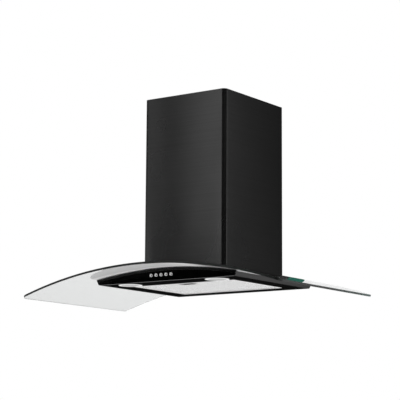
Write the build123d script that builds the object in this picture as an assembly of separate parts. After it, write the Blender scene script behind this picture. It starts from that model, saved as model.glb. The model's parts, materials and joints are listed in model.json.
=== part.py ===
"""Wall-mounted curved-glass range hood, 90 cm class, as an assembly of separate pieces.

Millimetres, +Z up, +Y towards the wall; the cook stands on the -Y side. Every piece is drawn
up from the flat underside, and at the end all are hung so that the origin lies on the wall,
midway between the two keyholes that the hood hangs by.

A 6 mm sheet of toughened glass, bent to one large radius, lies on a shallow black steel
canopy. The canopy holds the gloss fascia with five push buttons, two lamps and a grease
filter that swings down. A motor box stands on the glass and is bolted down through it. It
carries a double-inlet blower and a duct collar with two damper flaps. Two U-shaped chimney
covers hide it, and the inner one slides up out of the outer one.
"""

import os
from math import acos, asin, atan, atan2, cos, degrees, radians, sin, sqrt

from build123d import *

# ---------------------------------------------------------------- driving dimensions
# Clearances and sheet
sheet = 1.2  # folded steel
running_gap = 0.06  # radial, a pin or shaft in its hole
slider_gap = 0.3  # between pieces that move past each other
seat_gap = 0.15  # between two bent faces, and a flat seat on a bent face
push_gap = 0.1  # radial, a piece pushed into its ring
bolt_gap = 0.3  # radial, a bolt in its hole
overcut = 1.0  # how far a cutting shape stands past what it cuts

# Glass canopy
glass_width = 898.0
glass_depth = 500.0
glass_thickness = 6.0
glass_radius = 1400.0  # radius of its upper face
glass_wall_gap = 2.0
glass_front_corner = 18.0
glass_back_corner = 8.0
gasket_thickness = 1.5
gasket_width = 9.0

# Chimney covers
chimney_width = 290.0
chimney_depth = 310.0
chimney_top = 560.0
chimney_front_bend = 13.0
chimney_back_bend = 2.4
chimney_flange = 12.0
chimney_slide_gap = 0.6
inner_chimney_drop = 3.0  # its top edge below the outer one's
vent_count = 5
vent_length = 80.0
vent_height = 5.0
vent_pitch = 10.0
vent_drop = 30.0  # from the top edge down to the first slot

# Brackets of the two covers
cover_bracket_sheet = 1.5
cover_bracket_length = 90.0
cover_bracket_rise = 23.0  # its top above the base ring
cover_bracket_lap = 14.0  # its foot on the base ring
cover_bracket_hook = 2.1
cover_bracket_hook_height = 8.0
cover_bracket_hook_length = 50.0
wall_bracket_sheet = 1.5
wall_bracket_height = 25.0
wall_bracket_arm = 34.0
wall_bracket_bend = 2.0
wall_bracket_drop = 6.0
wall_bracket_screw_x = 90.0

# Steel canopy
canopy_bottom_width = 476.0
canopy_flare = 8.0  # how far each side leans out
canopy_edge_height = 14.1
canopy_depth = 400.0
canopy_lip = 7.0  # height of the rim above the fascia
fascia_thickness = 4.0
tray_flange = 10.0
opening_lip = 12.0

# Lamps
lamp_margin = 7.0  # from the fascia to the lamp ring
lamp_side_margin = 50.0  # from the canopy's lower side edge to the lamp ring
lamp_ring_radius = 35.0
lamp_lens_radius = 28.5
lamp_ledge = 2.0
lamp_flange = 1.6
lamp_flange_bevel = 0.9
lamp_sleeve_wall = 2.0
lamp_sleeve_height = 9.0
lamp_lens_thickness = 2.0
lamp_lens_step = 0.4
lamp_cap = 1.5
lamp_can_wall = 2.0
lamp_fin_count = 7
lamp_fin_pitch = 7.0
lamp_fin_sheet = 1.2
lamp_fin_height = 6.0
lamp_fin_margin = 3.0
lamp_clip_width = 10.0
lamp_clip_sheet = 0.6
lamp_clip_knee = 2.5
lamp_clip_reach = 7.0

# Filter and its opening
lamp_to_filter = 8.0
filter_width = 360.0
filter_back = -50.0
filter_thickness = 9.0
filter_recess = 0.4  # its underside above the underside of the canopy
filter_gap = 1.0
filter_border = 12.0
filter_window_corner = 3.0
filter_foil = 0.8
filter_corner = 6.0
layer_gap = 0.2
net_sheet = 0.8
lower_net_columns = 15
lower_net_rows = 11
lower_net_strand = 4.0
upper_net_columns = 7
upper_net_rows = 5
upper_net_strand = 7.0
net_margin = 2.0  # solid rim round the latch
core_foil = 0.4
core_waves = 24
core_crest_share = 0.2  # flat part of each wave
hinge_pin_radius = 2.0
hinge_pin_reach = 3.2  # how far each pin stands out of the frame

# Filter latch
latch_width = 64.0
latch_depth = 38.0
latch_rim = 6.0
latch_roof = 2.6  # underside of its roof above the bolt's mid level
latch_dish_corner = 5.0
bolt_width = 24.0
bolt_thickness = 2.4
bolt_throw = 2.5  # each way from the drawn position
bolt_tip_gap = 0.4
bolt_wing = 10.0
bolt_wing_depth = 6.0
bolt_tab = 3.0
bolt_tab_gap = 0.6

# Push buttons and their switch bank
button_count = 5
button_pitch = 17.5
button_row_x = -10.5
button_z = 17.7
button_radius = 5.25
button_proud = 3.0
button_bevel = 0.9
button_travel = 2.5
button_stem_radius = 2.0
button_stem_in = 5.0
button_flange_rim = 1.15
button_flange = 1.2
switch_gap = 3.7
switch_depth = 17.0
switch_height = 20.0
switch_margin = 13.0
switch_post_radius = 3.5
switch_board_sheet = 1.6
switch_board_margin = 5.0

# Motor box, and the ring that it stands on
control_box_depth = 26.0
control_box_gap = 6.0  # to the inner cover
box_front_gap = 23.0  # from the inner cover to the box
box_top = 330.0
box_ledge = 8.0  # how far the box stands outside the air passage
throat_back = -20.0
throat_corner = 16.0
ring_sheet = 2.0
ring_seal = 1.5
ring_setback = 2.0  # from the air passage
ring_front_lap = 16.0
ring_side_lap = 21.0
clamp_bolt_radius = 3.0
clamp_bolt_edge = 10.0  # from the ring's side edge
clamp_bolt_rows = (-256.0, -40.0)
clamp_bush_wall = 2.8
clamp_washer_radius = 6.5
clamp_washer = 1.2
clamp_head_across = 10.0
clamp_head_height = 4.0
clamp_nut_height = 5.0
clamp_bolt_tail = 2.0
hook_x = 70.0
hook_z = 290.0
hook_radius = 5.0
hook_slot_radius = 2.6
hook_slot_rise = 11.0
wall_screw_x = 88.0
wall_screw_z = 92.0
wall_screw_radius = 3.0

# Blower
blower_z = 180.0
wheel_radius = 72.0
wheel_blade_depth = 12.0
wheel_half_width = 48.0
wheel_blades = 32
wheel_blade_sheet = 1.0
wheel_blade_curve = 14.0
wheel_rim_margin = 0.5  # from the blades' tips to the rim
wheel_ring_width = 5.0
wheel_ring_sheet = 2.0
wheel_disc_sheet = 2.0
wheel_disc_lap = 4.0  # how far the disc stands in between the blades
hub_radius = 12.0
hub_left = -10.0
hub_right = 8.0
shaft_radius = 4.0
shaft_tail = 7.0
shaft_nose = 4.0
motor_radius = 40.0
motor_bevel = 4.0
motor_disc_gap = 13.0
motor_boss_wall = 5.0
motor_boss_rise = 2.0
motor_gap = 6.5  # from the scroll's left side to the motor bracket
motor_bracket_sheet = 2.0
motor_bracket_hub = 32.0
motor_bracket_arms = 3
motor_arm_width = 14.0
motor_foot_radius = 4.5
scroll_wall = 1.5
scroll_gap = 14.0  # from the wheel to the start of the volute
scroll_step = 12.0
scroll_side_gap = 4.0
scroll_back_gap = 11.3  # to the box's back
tongue_radius = 10.0
inlet_lip_sheet = 2.0
inlet_lip_width = 7.0
inlet_lip_depth = 3.0
capacitor_radius = 14.0
capacitor_height = 58.0
capacitor_z = 110.0
capacitor_front_gap = 18.8  # to the box's front wall
capacitor_bevel = 1.5
capacitor_tab_sheet = 0.8
capacitor_tab_width = 4.0
capacitor_tab_height = 7.0
capacitor_tab_y = 5.0

# Duct collar and damper
collar_radius = 75.0
collar_wall = 2.0
collar_height = 52.0
collar_flange_width = 13.0
collar_flange = 2.0
collar_bevel = 1.0
collar_screws = 4
collar_screw_edge = 6.0
collar_screw_radius = 1.9
collar_screw_length = 6.2
collar_screw_head = 3.6
collar_screw_head_height = 2.2
collar_screw_bevel = 1.0
damper_height = 22.0  # above the box
damper_pin_radius = 1.5
knuckle_radius = 3.0
knuckle_stations = 6
knuckle_margin = 4.0
flap_edge_gap = 1.5
flap_sheet = 1.0
flap_gap = 0.5
flap_ledge = 4.0
flap_ledge_sheet = 2.0

# Electrics on the side of the motor box
control_box_y = -150.0
control_box_z = 212.0
control_box_length = 110.0
control_box_height = 96.0
control_box_wall = 2.0
control_cover_lip = 2.0
gland_across = 16.0
gland_hex_height = 6.0
gland_dome_height = 8.0
gland_dome_radius = 6.5
gland_dome_bevel = 2.0
gland_bore_radius = 3.8

# ---------------------------------------------------------------- derived values
glass_low_radius = glass_radius - glass_thickness
gasket_radius = glass_low_radius - seat_gap
gasket_low_radius = gasket_radius - gasket_thickness
canopy_radius = gasket_low_radius - seat_gap
canopy_inner_radius = canopy_radius - sheet
recess_radius = canopy_radius - canopy_lip
fascia_radius = recess_radius - seat_gap
seal_low_radius = glass_radius + seat_gap
seal_radius = seal_low_radius + ring_seal
ring_low_radius = seal_radius + seat_gap
ring_radius = ring_low_radius + ring_sheet
on_ring_radius = ring_radius + seat_gap
canopy_top_width = canopy_bottom_width + 2 * canopy_flare
arc_centre_z = canopy_edge_height - sqrt(canopy_radius**2 - canopy_top_width**2 / 4)

canopy_front = -canopy_depth
front_wall_face = canopy_front + fascia_thickness
front_wall_back = front_wall_face + sheet

outer_half = chimney_width / 2
cover_inside = outer_half - sheet
inner_half = cover_inside - chimney_slide_gap
inner_front = -chimney_depth + sheet + chimney_slide_gap
inner_back = -sheet - chimney_slide_gap
inner_chimney_top = chimney_top - inner_chimney_drop
cover_bracket_top = arc_centre_z + on_ring_radius + cover_bracket_rise
inner_chimney_bottom = cover_bracket_top + slider_gap

box_half = inner_half - sheet - control_box_gap - control_box_depth
box_front = inner_front + sheet + box_front_gap
throat_half = box_half - box_ledge
throat_front = box_front + box_ledge
ring_half = box_half + ring_side_lap
ring_front = box_front - ring_front_lap
clamp_bolt_angle = degrees(asin((ring_half - clamp_bolt_edge) / glass_radius))
clamp_bush_radius = clamp_bolt_radius + bolt_gap + clamp_bush_wall

lamp_x = canopy_bottom_width / 2 - lamp_side_margin - lamp_ring_radius
lamp_y = canopy_front + lamp_margin + lamp_ring_radius
lamp_sleeve_radius = lamp_lens_radius + lamp_sleeve_wall
lens_floor = -lamp_flange / 2
lens_top = lens_floor + lamp_lens_thickness

filter_half = filter_width / 2
filter_front = lamp_y + lamp_ring_radius + lamp_to_filter
filter_top = filter_recess + filter_thickness
filter_mid_z = filter_recess + filter_thickness / 2
hinge_y = filter_back - filter_thickness / 2
opening_half = filter_half + filter_gap
opening_front = filter_front - filter_gap
opening_back = filter_back + filter_gap
layer_low = filter_recess + filter_foil
layer_high = filter_top - filter_foil
layer_half = filter_half - filter_foil - layer_gap
layer_front = filter_front + filter_foil + layer_gap
layer_back = hinge_y - layer_gap
lower_net_top = layer_low + net_sheet
upper_net_low = layer_high - net_sheet
window_half = filter_half - filter_border
window_front = filter_front + filter_border
window_back = filter_back - filter_border

latch_half = latch_width / 2
latch_back = window_front + latch_depth
dish_front = window_front + latch_rim
wing_front = dish_front + bolt_throw + slider_gap
bolt_low = filter_mid_z - bolt_thickness / 2
bolt_high = filter_mid_z + bolt_thickness / 2

button_flange_front = front_wall_back + slider_gap
button_flange_back = button_flange_front + button_flange
switch_face = button_flange_back + button_travel + switch_gap
switch_back = switch_face + switch_depth
switch_half = button_pitch * (button_count - 1) / 2 + switch_margin
switch_low = button_z - switch_height / 2
switch_high = button_z + switch_height / 2

wheel_blade_inner = wheel_radius - wheel_blade_depth
inlet_radius = wheel_blade_inner
scroll_half_width = wheel_half_width + scroll_side_gap
scroll_side_face = scroll_half_width + scroll_wall
scroll_start_radius = wheel_radius + scroll_gap
scroll_front = -(scroll_start_radius + 2.5 * scroll_step)
tongue_y = scroll_step / 2 - tongue_radius  # from the shaft
blower_y = -(scroll_start_radius + scroll_step / 2 + scroll_wall + scroll_back_gap + sheet)
capacitor_y = box_front + sheet + capacitor_front_gap + capacitor_radius
motor_right = -motor_disc_gap - wheel_disc_sheet / 2
motor_left = -(scroll_side_face + motor_gap)
collar_y = blower_y + (scroll_front + tongue_y) / 2
collar_flange_radius = collar_radius + collar_flange_width
damper_z = box_top + damper_height
flap_radius = collar_radius - collar_wall - flap_edge_gap
knuckle_reach = flap_radius - knuckle_margin

parts = {}


# ---------------------------------------------------------------- helpers
def arch_height(radius, x):
    """Height at x of a face bent about the glass's centre line."""
    return arc_centre_z + sqrt(radius * radius - x * x)


def front_plane(y):
    """A sketch plane facing the cook: sketch x is X, sketch y is Z."""
    return Plane(origin=(0, y, 0), x_dir=(1, 0, 0), z_dir=(0, -1, 0))


def side_plane(x):
    """A sketch plane facing +X: sketch x is Y, sketch y is Z."""
    return Plane(origin=(x, 0, 0), x_dir=(0, 1, 0), z_dir=(1, 0, 0))


def prism_y(outline, back, front):
    """An outline drawn in X and Z, running from the back plane to the front plane."""
    return extrude(front_plane(back) * outline, amount=back - front)


def prism_x(outline, left, right):
    """An outline drawn in Y and Z, running from the left plane to the right plane."""
    return extrude(side_plane(left) * outline, amount=right - left)


def block(x0, x1, y0, y1, z0, z1):
    """A box between two corners."""
    centre = Pos((x0 + x1) / 2, (y0 + y1) / 2, (z0 + z1) / 2)
    return centre * Box(x1 - x0, y1 - y0, z1 - z0)


def rounded_block(x0, x1, y0, y1, z0, z1, radius):
    """A box with its four upright edges rounded."""
    outline = RectangleRounded(x1 - x0, y1 - y0, radius)
    return extrude(Pos((x0 + x1) / 2, (y0 + y1) / 2, z0) * outline, amount=z1 - z0)


def rod_x(radius, y, z, x0, x1):
    """A cylinder along X."""
    return prism_x(Pos(y, z) * Circle(radius), x0, x1)


def rod_y(radius, x, z, back, front):
    """A cylinder along Y."""
    return prism_y(Pos(x, z) * Circle(radius), back, front)


def rod_z(radius, x, y, z0, z1):
    """A cylinder along Z."""
    return extrude(Pos(x, y, z0) * Circle(radius), amount=z1 - z0)


def bevelled_rod_z(radius, x, y, z0, z1, bevel, edge=-1):
    """A cylinder along Z with its upper rim bevelled, or its lower one with edge 0."""
    rod = rod_z(radius, x, y, z0, z1)
    return chamfer(rod.edges().filter_by(GeomType.CIRCLE).sort_by(Axis.Z)[edge], bevel)


def mirrored(shape):
    """The same piece on the other side of the centre line."""
    return mirror(shape, about=Plane.YZ)


def group(shapes):
    """Separate solids that share one node."""
    return Compound(children=[solid for shape in shapes for solid in shape.solids()])


# ---------------------------------------------------------------- bent outlines
def arch_band(low, high, half_width):
    """The front outline between two bent faces, its ends upright."""
    top = arch_height(high, half_width)
    bottom = arch_height(low, half_width)
    return make_face(
        Curve()
        + ThreePointArc((-half_width, top), (0, arch_height(high, 0)), (half_width, top))
        + Line((half_width, top), (half_width, bottom))
        + ThreePointArc((half_width, bottom), (0, arch_height(low, 0)), (-half_width, bottom))
        + Line((-half_width, bottom), (-half_width, top))
    )


def sheet_band(low, high, width):
    """The front outline of a bent sheet, its ends square to its faces."""
    angle = asin(width / 2 / high)

    def at(radius, turn):
        return (radius * sin(turn), arc_centre_z + radius * cos(turn))

    return make_face(
        Curve()
        + ThreePointArc(at(high, -angle), at(high, 0), at(high, angle))
        + Line(at(high, angle), at(low, angle))
        + ThreePointArc(at(low, angle), at(low, 0), at(low, -angle))
        + Line(at(low, -angle), at(high, -angle))
    )


def under_bent_face(radius):
    """All that lies under a bent face within the chimney's plan, as a cutting shape."""
    half = outer_half + overcut
    deep = arch_height(glass_low_radius, half) - glass_thickness
    top = arch_height(radius, half)
    outline = make_face(
        Curve()
        + ThreePointArc((-half, top), (0, arch_height(radius, 0)), (half, top))
        + Line((half, top), (half, deep))
        + Line((half, deep), (-half, deep))
        + Line((-half, deep), (-half, top))
    )
    return prism_y(outline, overcut, -chimney_depth - overcut)


under_glass_z = arch_height(glass_low_radius, outer_half)  # lower than all that stands on the glass

# The canopy's sides lean out as they rise, so that they meet its bent top at the top width.
lean = canopy_flare / canopy_edge_height


def side_x(z, inset):
    """Half width of the canopy at height z, inside its outer face by inset."""
    return canopy_bottom_width / 2 - inset / cos(atan(lean)) + lean * z


def side_meets_arch(radius, inset):
    """Height where the leaning side runs into a bent face."""
    foot = side_x(0, inset)
    square = 1 + lean**2
    middle = foot * lean - arc_centre_z
    rest = foot**2 + arc_centre_z**2 - radius**2
    return (-middle + sqrt(middle**2 - square * rest)) / square


def canopy_outline(radius, inset, bottom=0.0):
    """Front outline of the canopy up to a bent face."""
    top = side_meets_arch(radius, inset)
    x_top = side_x(top, inset)
    x_low = side_x(bottom, inset)
    return make_face(
        Curve()
        + Line((-x_low, bottom), (-x_top, top))
        + ThreePointArc((-x_top, top), (0, arch_height(radius, 0)), (x_top, top))
        + Line((x_top, top), (x_low, bottom))
        + Line((x_low, bottom), (-x_low, bottom))
    )


def tray_outline(bottom, top, inset):
    """Front outline of the canopy's lower part, between two levels."""
    x_low = side_x(bottom, inset)
    x_top = side_x(top, inset)
    corners = ((-x_low, bottom), (x_low, bottom), (x_top, top), (-x_top, top))
    return make_face(Polyline(*corners, close=True))


def throat(setback=0.0):
    """The upright air passage that canopy, seals, glass and base ring are cut by."""
    return rounded_block(
        -throat_half - setback,
        throat_half + setback,
        throat_front - setback,
        throat_back + setback,
        0,
        box_top,
        throat_corner,
    )


def at_clamp_bolts(shape):
    """Four copies of a shape drawn on Z, set square to the glass at the clamp bolts."""
    copies = []
    for side in (-1, 1):
        for y in clamp_bolt_rows:
            place = Pos(0, y, arc_centre_z) * Rot(0, side * clamp_bolt_angle, 0)
            copies.append(place * shape)
    return copies


def clamp_rod(radius, low, high):
    """A round length of a clamp bolt's axis, between two bent faces."""
    return Pos(0, 0, low) * extrude(Circle(radius), amount=high - low)


def clamp_hexagon(low, high):
    """A hexagonal length of a clamp bolt's axis."""
    outline = RegularPolygon(clamp_head_across / 2, 6, major_radius=False)
    return Pos(0, 0, low) * extrude(outline, amount=high - low)


def bored_for_clamps(shape, low, high, radius=clamp_bolt_radius + bolt_gap):
    """The shape with its four clamp holes, each through the sheet between two bent faces."""
    for hole in at_clamp_bolts(clamp_rod(radius, low - overcut, high + overcut)):
        shape -= hole
    return shape


# ---------------------------------------------------------------- glass and what it lies on
def tip_corner_edges(glass, front):
    """The two short edges at the glass's front or back corners."""
    tip = glass_width / 2 - glass_thickness
    middle = -glass_depth / 2
    edges = [e for e in glass.edges() if abs(e.center().X) > tip and e.length < 2 * glass_thickness]
    return [e for e in edges if (e.center().Y < middle) == front]


def make_glass():
    outline = sheet_band(glass_low_radius, glass_radius, glass_width)
    glass = prism_y(outline, -glass_wall_gap, -glass_depth)
    glass = fillet(tip_corner_edges(glass, True), glass_front_corner)
    glass = fillet(tip_corner_edges(glass, False), glass_back_corner)
    bush_hole = clamp_bush_radius + push_gap
    return bored_for_clamps(glass - throat(), glass_low_radius, glass_radius, bush_hole)


def make_glass_gasket():
    """Clear silicone frame between the glass and the rim of the canopy's top."""
    outer_x = canopy_top_width / 2
    band = arch_band(gasket_low_radius, gasket_radius, outer_x)
    ring = prism_y(band, -glass_wall_gap, canopy_front)
    return ring - block(
        -outer_x + gasket_width,
        outer_x - gasket_width,
        canopy_front + gasket_width,
        -glass_wall_gap - gasket_width,
        0,
        box_top,
    )


def make_throat_gasket():
    """Second silicone frame, round the air passage and the clamp bolts."""
    band = arch_band(gasket_low_radius, gasket_radius, ring_half)
    back = -glass_wall_gap - gasket_width
    gasket = prism_y(band, back - overcut, ring_front) - throat()
    return bored_for_clamps(gasket, gasket_low_radius, gasket_radius)


def make_base_seal():
    band = arch_band(seal_low_radius, seal_radius, ring_half)
    seal = prism_y(band, -glass_wall_gap, ring_front) - throat(ring_setback)
    return bored_for_clamps(seal, seal_low_radius, seal_radius)


def make_base_ring():
    band = arch_band(ring_low_radius, ring_radius, ring_half)
    ring = prism_y(band, 0, ring_front) - throat(ring_setback)
    return bored_for_clamps(ring, ring_low_radius, ring_radius)


def make_glass_bushes():
    """Nylon bushes that keep the bolts off the glass."""
    low = glass_low_radius + seat_gap
    high = glass_radius - seat_gap
    bush = clamp_rod(clamp_bush_radius, low, high)
    bore = clamp_rod(clamp_bolt_radius + bolt_gap, low - overcut, high + overcut)
    return group(at_clamp_bolts(bush - bore))


def make_glass_bolts():
    """Hexagon bolts with their upper washers."""
    seat = on_ring_radius
    head_low = seat + clamp_washer
    foot = canopy_inner_radius - seat_gap - clamp_washer - clamp_nut_height - clamp_bolt_tail
    bolt = clamp_rod(clamp_bolt_radius, foot, head_low)
    bolt += clamp_rod(clamp_washer_radius, seat, head_low)
    bolt += clamp_hexagon(head_low, head_low + clamp_head_height)
    return group(at_clamp_bolts(bolt))


def make_glass_nuts():
    """Nuts with their lower washers, inside the canopy."""
    seat = canopy_inner_radius - seat_gap
    nut_top = seat - clamp_washer
    nut_low = nut_top - clamp_nut_height
    nut = clamp_hexagon(nut_low, nut_top) + clamp_rod(clamp_washer_radius, nut_top, seat)
    nut -= clamp_rod(clamp_bolt_radius + running_gap, nut_low - overcut, seat + overcut)
    return group(at_clamp_bolts(nut))


# ---------------------------------------------------------------- steel canopy
def button_xs():
    first = button_row_x - button_pitch * (button_count - 1) / 2
    return [first + n * button_pitch for n in range(button_count)]


def bored_for_buttons(shape, back, front):
    for x in button_xs():
        shape -= rod_y(button_radius + slider_gap, x, button_z, back + overcut, front - overcut)
    return shape


def make_canopy_shell():
    """Folded steel: bent top, leaning sides, back, and the wall that carries the fascia."""
    shell = prism_y(canopy_outline(canopy_radius, 0), 0, canopy_front)
    shell -= prism_y(canopy_outline(canopy_inner_radius, sheet, -overcut), -sheet, front_wall_back)
    recess = canopy_outline(recess_radius, -sheet, -overcut)
    shell -= prism_y(recess, front_wall_face, canopy_front - overcut)
    shell = bored_for_clamps(shell - throat(), canopy_inner_radius, canopy_radius)
    return bored_for_buttons(shell, front_wall_back, front_wall_face)


def make_fascia():
    fascia = prism_y(canopy_outline(fascia_radius, 0), front_wall_face, canopy_front)
    return bored_for_buttons(fascia, front_wall_face, canopy_front)


def make_underside_panel():
    """Pressed tray with the filter opening, its upturned lip and two lamp holes."""
    front = front_wall_back
    panel = prism_y(tray_outline(0, tray_flange, sheet), -sheet, front)
    inside = tray_outline(sheet, tray_flange + overcut, 2 * sheet)
    panel -= prism_y(inside, -2 * sheet, front + sheet)
    panel += rounded_block(
        -opening_half - sheet,
        opening_half + sheet,
        opening_front - sheet,
        opening_back + sheet,
        0,
        opening_lip,
        filter_corner + sheet,
    )
    panel -= rounded_block(
        -opening_half,
        opening_half,
        opening_front,
        opening_back,
        -overcut,
        opening_lip + overcut,
        filter_corner,
    )
    for side in (-1, 1):
        panel -= rod_z(lamp_sleeve_radius + slider_gap, side * lamp_x, lamp_y, -overcut, sheet + overcut)
        ends = sorted((side * (opening_half - overcut), side * (opening_half + sheet + overcut)))
        panel -= rod_x(hinge_pin_radius + running_gap, hinge_y, filter_mid_z, *ends)
    return panel - bolt_slot(opening_front - sheet - overcut, opening_front + overcut)


def bolt_slot(front, back):
    """Clearance round the latch bolt, from one plane to another along its slide."""
    half = bolt_width / 2 + slider_gap
    return block(-half, half, front, back, bolt_low - slider_gap, bolt_high + slider_gap)


# ---------------------------------------------------------------- buttons and switch bank
def make_button(x):
    cap = rod_y(button_radius, x, button_z, button_flange_front, canopy_front - button_proud)
    rim = cap.edges().filter_by(GeomType.CIRCLE).sort_by(Axis.Y)[0]
    cap = chamfer(rim, button_bevel)
    flange_radius = button_radius + button_flange_rim
    cap += rod_y(flange_radius, x, button_z, button_flange_back, button_flange_front)
    return cap + rod_y(button_stem_radius, x, button_z, switch_face + button_stem_in, button_flange_back)


def make_switch_housing():
    """Switch bank behind the front wall, on two posts."""
    left = button_row_x - switch_half
    right = button_row_x + switch_half
    housing = block(left, right, switch_face, switch_back, switch_low, switch_high)
    post_z = switch_high - switch_post_radius
    for x in (left + switch_post_radius, right - switch_post_radius):
        housing += rod_y(switch_post_radius, x, post_z, switch_face, front_wall_back)
    bore_end = switch_face + button_stem_in + button_travel + overcut
    for x in button_xs():
        housing -= rod_y(button_stem_radius + running_gap, x, button_z, bore_end, switch_face - overcut)
    return housing


def make_switch_board():
    return block(
        button_row_x - switch_half - switch_board_margin,
        button_row_x + switch_half + switch_board_margin,
        switch_back,
        switch_back + switch_board_sheet,
        switch_low,
        switch_high,
    )


# ---------------------------------------------------------------- lamps
def make_lamp_ring(x):
    ring = bevelled_rod_z(lamp_ring_radius, x, lamp_y, -lamp_flange, 0, lamp_flange_bevel, 0)
    ring += rod_z(lamp_sleeve_radius, x, lamp_y, 0, lamp_sleeve_height)
    mouth = lamp_lens_radius - lamp_ledge
    ring -= rod_z(mouth, x, lamp_y, -lamp_flange - overcut, lamp_sleeve_height + overcut)
    return ring - rod_z(lamp_lens_radius, x, lamp_y, lens_floor, lamp_sleeve_height + overcut)


def make_lamp_lens(x):
    """Frosted disc that lies on the ring's ledge and stands down into its mouth."""
    lens = rod_z(lamp_lens_radius - push_gap, x, lamp_y, lens_floor, lens_top)
    mouth = lamp_lens_radius - lamp_ledge - push_gap
    return lens + rod_z(mouth, x, lamp_y, lens_floor - lamp_lens_step, lens_floor)


def make_lamp_housing(x):
    """Finned heat sink that closes the lamp from above."""
    rim = lamp_lens_radius - push_gap
    housing = rod_z(rim, x, lamp_y, lens_top, lamp_sleeve_height)
    roof = lamp_sleeve_height - lamp_can_wall
    housing -= rod_z(rim - lamp_can_wall, x, lamp_y, lens_top - overcut, roof)
    fin_base = lamp_sleeve_height + lamp_cap
    housing += rod_z(lamp_sleeve_radius, x, lamp_y, lamp_sleeve_height, fin_base)
    fin_y = lamp_fin_sheet / 2
    for n in range(lamp_fin_count):
        offset = (n - (lamp_fin_count - 1) / 2) * lamp_fin_pitch
        half = sqrt((lamp_sleeve_radius - lamp_fin_margin) ** 2 - offset**2)
        y = lamp_y + offset
        housing += block(x - half, x + half, y - fin_y, y + fin_y, fin_base, fin_base + lamp_fin_height)
    return housing


def make_lamp_clips():
    """Two leaf springs a lamp, which hold the ring up against the panel."""
    inner = lamp_sleeve_radius + push_gap
    foot = sheet + push_gap
    leaf_low = foot + lamp_clip_sheet
    top = lamp_sleeve_height - push_gap
    knee = inner + lamp_clip_knee
    toe = inner + lamp_clip_reach
    leaf = make_face(
        Polyline(
            (inner, top),
            (inner, top - lamp_clip_sheet),
            (knee, foot),
            (toe, foot),
            (toe, leaf_low),
            (knee + lamp_clip_sheet, leaf_low),
            (inner + lamp_clip_sheet, top),
            close=True,
        )
    )
    half = lamp_clip_width / 2
    clip = prism_y(leaf, lamp_y + half, lamp_y - half)
    pair = [clip, mirrored(clip)]
    return group([Pos(side * lamp_x, 0, 0) * one for side in (-1, 1) for one in pair])


# ---------------------------------------------------------------- grease filter
def make_filter_frame():
    """Channel frame: rolled rear edge, a window and a groove for the filter layers."""
    frame = rounded_block(
        -filter_half, filter_half, filter_front, filter_back, filter_recess, filter_top, filter_corner
    )
    back_edges = [e for e in frame.edges() if e.center().Y > filter_back - push_gap]
    rear = [e for e in back_edges if e.length > filter_half]
    frame = fillet(rear, filter_thickness / 2 - running_gap)
    frame -= rounded_block(
        -layer_half - layer_gap,
        layer_half + layer_gap,
        layer_front - layer_gap,
        layer_back + layer_gap,
        layer_low,
        layer_high,
        filter_corner - filter_foil,
    )
    frame -= rounded_block(
        -window_half,
        window_half,
        window_front,
        window_back,
        filter_recess - overcut,
        filter_top + overcut,
        filter_window_corner,
    )
    return frame - bolt_slot(filter_front - overcut, filter_front + filter_foil + overcut)


def layer_blank(low, high):
    """One filter layer before it is pierced, with its notch for the latch."""
    corner = filter_corner - filter_foil
    blank = rounded_block(-layer_half, layer_half, layer_front, layer_back, low, high, corner)
    half = latch_half + layer_gap
    return blank - block(
        -half, half, layer_front - overcut, latch_back + layer_gap, low - overcut, high + overcut
    )


def make_net(low, high, columns, rows, strand):
    """A flat layer pierced by diamonds, in rows that step sideways."""
    pitch_x = 2 * window_half / columns
    pitch_y = (window_back - window_front) / rows
    across = pitch_x - strand
    along = 2 * pitch_y * across / pitch_x
    corners = ((-across / 2, 0), (0, -along / 2), (across / 2, 0), (0, along / 2))
    diamond = make_face(Polyline(*corners, close=True))
    holes = []
    for row in range(1, rows):
        shift = 0.5 if row % 2 else 1.0
        for column in range(columns if row % 2 else columns - 1):
            x = -window_half + (column + shift) * pitch_x
            y = window_front + row * pitch_y
            clear_x = abs(x) > latch_half + across / 2 + net_margin
            clear_y = y > latch_back + along / 2 + net_margin
            if clear_x or clear_y:
                holes.append(Pos(x, y, low - overcut) * diamond)
    return layer_blank(low, high) - extrude(Sketch() + holes, amount=high - low + 2 * overcut)


def make_filter_core():
    """Corrugated foil between the two nets."""
    lift = core_foil / 2
    low = lower_net_top + lift
    high = upper_net_low - lift
    pitch = 2 * layer_half / core_waves
    crest = pitch * core_crest_share
    centre = []
    for wave in range(core_waves):
        x = -layer_half + wave * pitch
        top_x = x + pitch / 2
        centre += [(x, low), (x + crest, low), (top_x, high), (top_x + crest, high)]
    centre.append((layer_half, low))
    upper = [(x, z + lift) for x, z in centre]
    lower = [(x, z - lift) for x, z in reversed(centre)]
    foil = prism_y(make_face(Polyline(*upper, *lower, close=True)), layer_back, layer_front)
    return foil & layer_blank(lower_net_top, upper_net_low)


def make_latch_housing():
    """Dished plate let into the front of the filter, with a channel for the bolt."""
    roof = filter_mid_z + latch_roof
    plate = block(-latch_half, latch_half, layer_front, latch_back, layer_low, layer_high)
    plate -= rounded_block(
        -latch_half + latch_rim,
        latch_half - latch_rim,
        dish_front,
        latch_back - latch_rim / 2,
        layer_low - overcut,
        roof,
        latch_dish_corner,
    )
    return plate - bolt_slot(layer_front - overcut, dish_front + overcut)


def make_filter_latch():
    """Sliding bolt with the finger tab that moves it."""
    half = bolt_width / 2
    wing = half + bolt_wing
    wing_back = wing_front + bolt_wing_depth
    bolt = block(-half, half, opening_front + bolt_tip_gap, wing_back, bolt_low, bolt_high)
    bolt += block(-wing, wing, wing_front, wing_back, bolt_low, bolt_high)
    tab_low = filter_recess + bolt_tab_gap
    return bolt + block(-wing, wing, wing_front, wing_front + bolt_tab, tab_low, bolt_low)


def make_filter_pins():
    """Two riveted pins that the filter swings on."""
    pins = []
    for side in (-1, 1):
        ends = sorted((side * filter_half, side * (filter_half + hinge_pin_reach)))
        pins.append(rod_x(hinge_pin_radius, hinge_y, filter_mid_z, *ends))
    return group(pins)


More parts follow.
